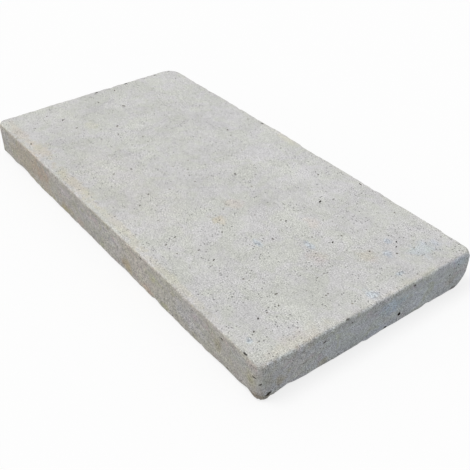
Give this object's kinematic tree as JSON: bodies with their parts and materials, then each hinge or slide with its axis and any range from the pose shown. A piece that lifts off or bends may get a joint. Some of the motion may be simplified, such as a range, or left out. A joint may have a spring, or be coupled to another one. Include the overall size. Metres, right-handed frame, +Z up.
{
  "type": "pool coping stone",
  "caption": "Tumbled travertine pool coping stone with worn arrises, knocked corners, chips and open pores.",
  "frame": {"origin": "middle of the underside", "axes": "+X along the long edge, +Y across the stone, +Z up through its thickness"},
  "size_m": [0.61, 0.305, 0.05],
  "materials": {
    "travertine": "tumbled, matt"
  },
  "bodies": {
    "root": {"coping_stone": "travertine"}
  },
  "joints": []
}
